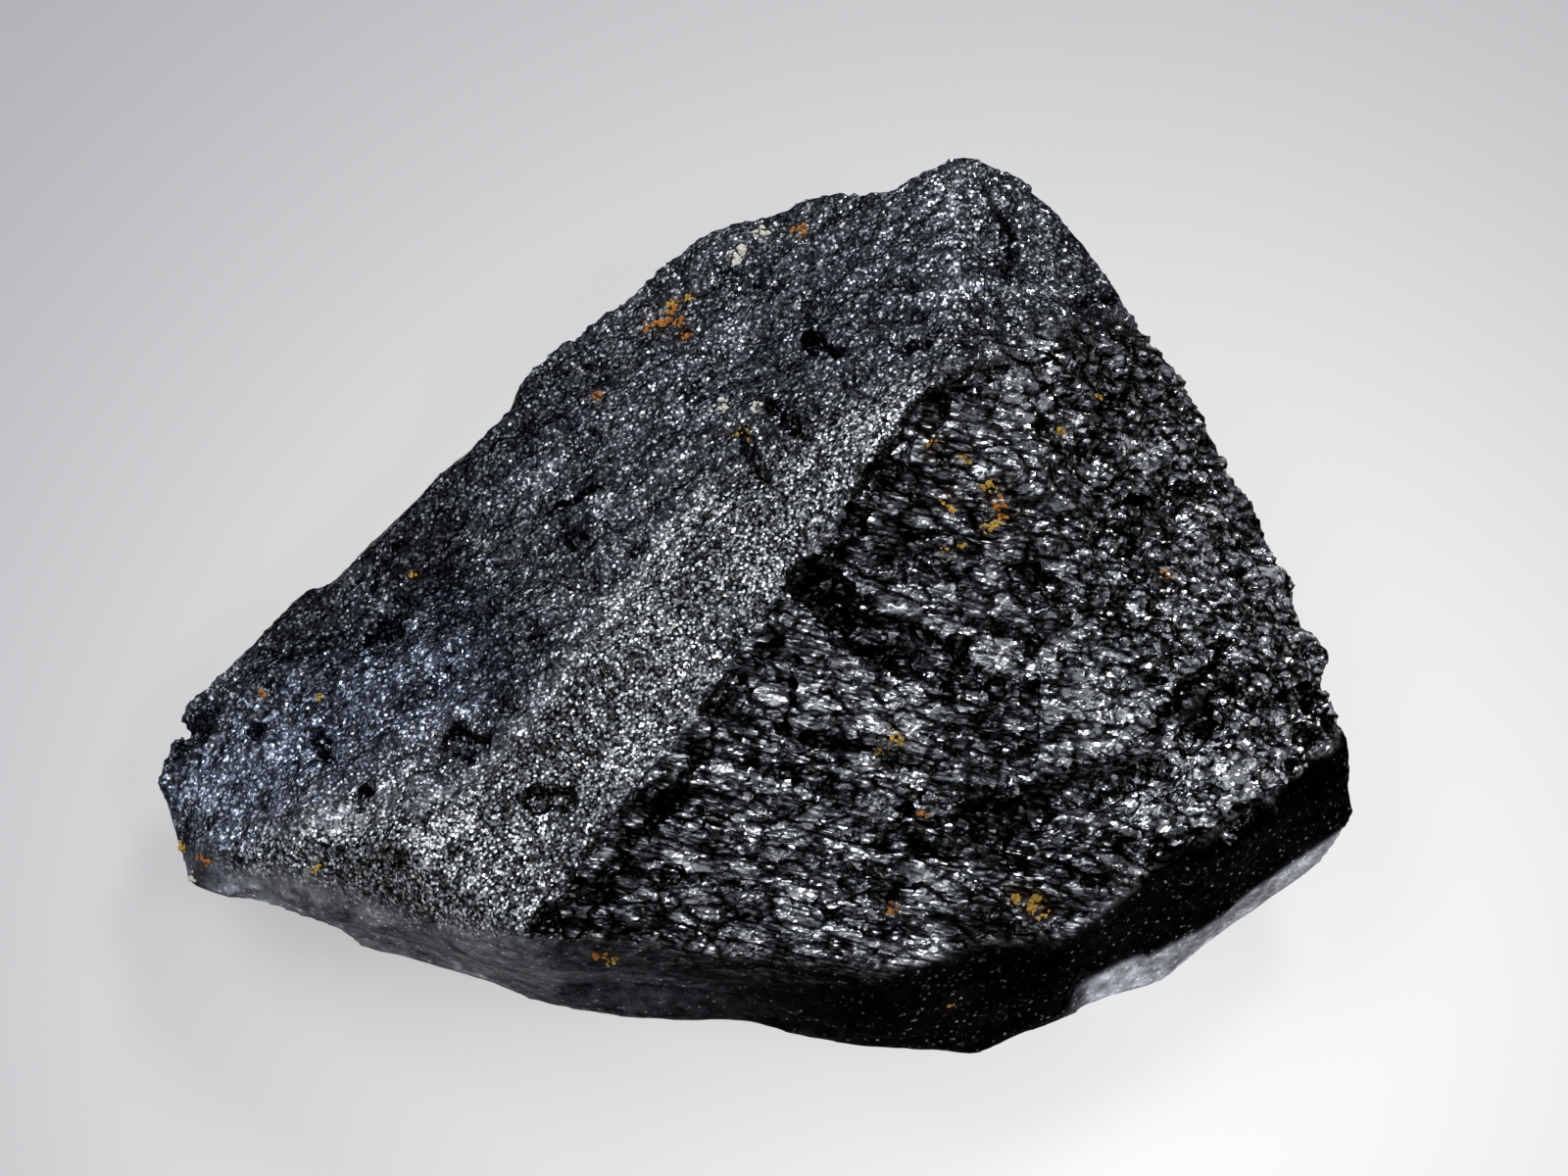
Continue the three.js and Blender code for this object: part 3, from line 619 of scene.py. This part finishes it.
    # Painted reflection: the colour is tinted bluish where it stands for mirrored cool daylight.
    tint = add(tree, "ShaderNodeMix", {
        "Factor": painted_blue_reflection, 6: linear("#ffffff"), 7: linear("#dfe9ff"),
    }, data_type="RGBA")
    colour = add(tree, "ShaderNodeVectorMath", {0: colour, 1: tint}, operation="MULTIPLY")
    stain = add(tree, "ShaderNodeMath", {0: stained, 1: 0.35}, operation="MULTIPLY")
    colour = add(tree, "ShaderNodeMix", {
        "Factor": stain, 6: colour, 7: linear("#3a2a18"),
    }, data_type="RGBA")
    painted_reflection_or_grainy = add(tree, "ShaderNodeMath", {0: painted_pale_reflection, 1: grainy}, operation="MAXIMUM")
    dark_smooth = add(tree, "ShaderNodeMath", {0: 1.0, 1: painted_reflection_or_grainy}, operation="SUBTRACT")
    roughness = add(tree, "ShaderNodeMath", {0: dark_smooth, 1: 0.3, 2: 0.22}, operation="MULTIPLY_ADD")
    # An oxide mirrors less at its edges than a pure metal, so its edge tint is grey.
    surface = add(tree, "ShaderNodeBsdfPrincipled", {
        "Base Color": colour,
        "Metallic": 1.0,
        "Specular Tint": linear("#a8a8a8"),
        "Roughness": roughness,
        "Normal": facet,
    })
    add(tree, "ShaderNodeOutputMaterial", {"Surface": surface})
    return material


# Crumbs


def crumbs(name, places, crystal, seed):
    """A cluster of tiny lumps at each place, laid on the crystal's surface there. Rays find the surface:
    one from above for the middle, then one per lump that goes straight into the face."""
    chance = random.Random(seed)
    made = []
    for x, y, size in places:
        found, middle, out, _ = crystal.ray_cast(Vector((x, y, ABOVE_ALL)) * MM, Vector((0, 0, -1)))
        if not found:
            continue
        face = out.to_track_quat("Z", "Y")
        # Lumps lie within three quarters of the crumb's size, and their rays start 0.4 mm over the face.
        reach = size * 0.75
        for _ in range(LUMPS_PER_CRUMB):
            aside = face @ Vector((chance.uniform(-reach, reach), chance.uniform(-reach, reach), 0.4)) * MM
            hit, spot, _, _ = crystal.ray_cast(middle + aside, -out, distance=MM)
            if not hit:
                continue
            radius = size * chance.uniform(0.12, 0.34) * MM
            bpy.ops.mesh.primitive_ico_sphere_add(
                subdivisions=2, radius=radius, location=spot,
                rotation=[chance.uniform(0, math.tau) for _ in range(3)],
                scale=[chance.uniform(0.55, 1.45) for _ in range(3)],
            )
            lump = bpy.context.object
            own = Vector((x, y, radius / MM * 10))
            for vertex in lump.data.vertices:
                vertex.co *= 1 + 0.7 * noise.noise(vertex.co / radius * 1.6 + own)
            made.append(lump)
    bpy.ops.object.select_all(action="DESELECT")
    for lump in made:
        lump.select_set(True)
    bpy.context.view_layer.objects.active = made[0]
    bpy.ops.object.join()
    joined = bpy.context.object
    joined.name = name
    bpy.ops.object.transform_apply(location=True, rotation=True, scale=True)
    return joined


def earthy(name, painted_brightness, deep):
    """Earthy iron oxide or clay: soft dull colour with no shine."""
    material = new_material(name)
    tree = material.node_tree
    place = add(tree, "ShaderNodeTexCoord").outputs["Object"]
    speckle = add(tree, "ShaderNodeTexNoise", {"Vector": place, "Scale": 1 / (0.12 * MM), "Detail": 3.0})
    colour = add(tree, "ShaderNodeMix", {
        "Factor": speckle.outputs["Fac"], 6: linear(deep), 7: linear(painted_brightness),
    }, data_type="RGBA")
    surface = add(tree, "ShaderNodeBsdfPrincipled", {"Base Color": colour, "Roughness": 0.75, "IOR": 1.5})
    add(tree, "ShaderNodeOutputMaterial", {"Surface": surface})
    return material


# Setting


def floor():
    """Matte paper with a painted glow: emission that is brightest in front of the crystal on the right, where
    it lightens the crystal's shadow.
    """
    bpy.ops.mesh.primitive_plane_add(size=1.2, location=(0, 0, 0))
    paper = bpy.context.object
    paper.name = "paper_floor"
    material = new_material("matte pale grey paper")
    tree = material.node_tree
    place = add(tree, "ShaderNodeTexCoord").outputs["Object"]
    # The painted glow is strongest in its middle and falls off as a bell curve, to a share of that at its
    # reach.
    middle = (6 * MM, -7 * MM, 0)
    reach = 23 * MM
    share_at_reach = 0.37
    strongest = 0.68
    away = add(tree, "ShaderNodeVectorMath", {0: place, 1: middle}, operation="DISTANCE")
    spread = add(tree, "ShaderNodeMath", {0: away, 1: reach}, operation="DIVIDE")
    square = add(tree, "ShaderNodeMath", {0: spread, 1: spread}, operation="MULTIPLY")
    fading = add(tree, "ShaderNodeMath", {0: share_at_reach, 1: square}, operation="POWER")
    painted_glow = add(tree, "ShaderNodeMath", {0: fading, 1: strongest}, operation="MULTIPLY")
    surface = add(tree, "ShaderNodeBsdfPrincipled", {
        "Base Color": linear("#b0b0b0"),
        "Roughness": 0.9,
        "Emission Color": linear("#ffffff"),
        "Emission Strength": painted_glow,
    })
    add(tree, "ShaderNodeOutputMaterial", {"Surface": surface})
    paper.data.materials.append(material)


def direction(azimuth, elevation):
    """A way out from the crystal. Azimuth is counted in degrees from +X towards +Y."""
    turn, lift = math.radians(azimuth), math.radians(elevation)
    return Vector((math.cos(turn) * math.cos(lift), math.sin(turn) * math.cos(lift), math.sin(lift)))


def soft_light(name, azimuth, elevation, distance, size, watts, colour="#ffffff"):
    """A rectangular soft light that faces the crystal."""
    data = bpy.data.lights.new(name, "AREA")
    data.shape = "RECTANGLE"
    data.size, data.size_y = size
    data.energy = watts
    data.color = linear(colour)[:3]
    lamp = bpy.data.objects.new(name, data)
    way = direction(azimuth, elevation)
    lamp.location = way * distance
    lamp.rotation_euler = way.to_track_quat("Z", "Y").to_euler()
    bpy.context.scene.collection.objects.link(lamp)


def studio_dome():
    """Soft light from all round, brightest behind on the left."""
    world = bpy.data.worlds.new("studio")
    world.use_nodes = True
    tree = world.node_tree
    way = add(tree, "ShaderNodeTexCoord").outputs["Generated"]
    towards = add(tree, "ShaderNodeVectorMath", {0: way, 1: direction(140, 45)}, operation="DOT_PRODUCT")
    strength = add(tree, "ShaderNodeMapRange", {
        "Value": towards.outputs["Value"], "From Min": 0.2, "From Max": 1.0, "To Min": 0.22, "To Max": 0.7,
    }, interpolation_type="SMOOTHSTEP")
    background = tree.nodes["Background"]
    background.inputs["Color"].default_value = linear("#f0f4fa")
    tree.links.new(strength.outputs[0], background.inputs["Strength"])
    bpy.context.scene.world = world


def lights():
    studio_dome()
    # Azimuth and elevation in degrees, distance and size in m, watts, and a tint.
    soft_light("window", 146, 60, 0.4, (0.17, 0.15), 0.3, "#f4f7ff")
    soft_light("low_window", 132, 22, 0.4, (0.22, 0.1), 0.1, "#eef3fc")
    soft_light("back_right", 60, 50, 0.4, (0.1, 0.1), 0.4)
    soft_light("over_right", -35, 62, 0.4, (0.1, 0.08), 0.16)
    bpy.context.scene.view_settings.view_transform = "Standard"


def camera():
    """Looks down on the crystal's middle at 70 degrees, from a little over five times its length."""
    aim = Vector((0.66, 0.7, 5.0)) * MM
    distance = 142 * MM
    data = bpy.data.cameras.new("camera")
    data.lens = 150
    data.clip_start = 0.01
    lens = bpy.data.objects.new("camera", data)
    back = direction(-90, 70)
    lens.location = aim + back * distance
    lens.rotation_euler = back.to_track_quat("Z", "Y").to_euler()
    bpy.context.scene.collection.objects.link(lens)
    bpy.context.scene.camera = lens


def build():
    crystal = shape_crystal(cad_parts["crystal"])
    crystal.data.materials.clear()
    crystal.data.materials.append(tapiolite())
    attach(crystal, "root")
    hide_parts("crystal")
    clusters = [
        ("rust_crumbs", RUST_CRUMBS, earthy("limonite, rusty", "#d89040", "#8c5420")),
        ("ochre_crumbs", OCHRE_CRUMBS, earthy("limonite, ochre", "#e8c25c", "#a87c2c")),
        ("clay_crumbs", CLAY_CRUMBS, earthy("pale clay", "#f6f4e8", "#ccc8b8")),
    ]
    # Each cluster's place in the list is its random seed.
    for seed, (name, places, material) in enumerate(clusters):
        piece = crumbs(name, places, crystal, seed)
        piece.data.materials.append(material)
        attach(piece, "root")
    floor()
    lights()
    camera()


build()
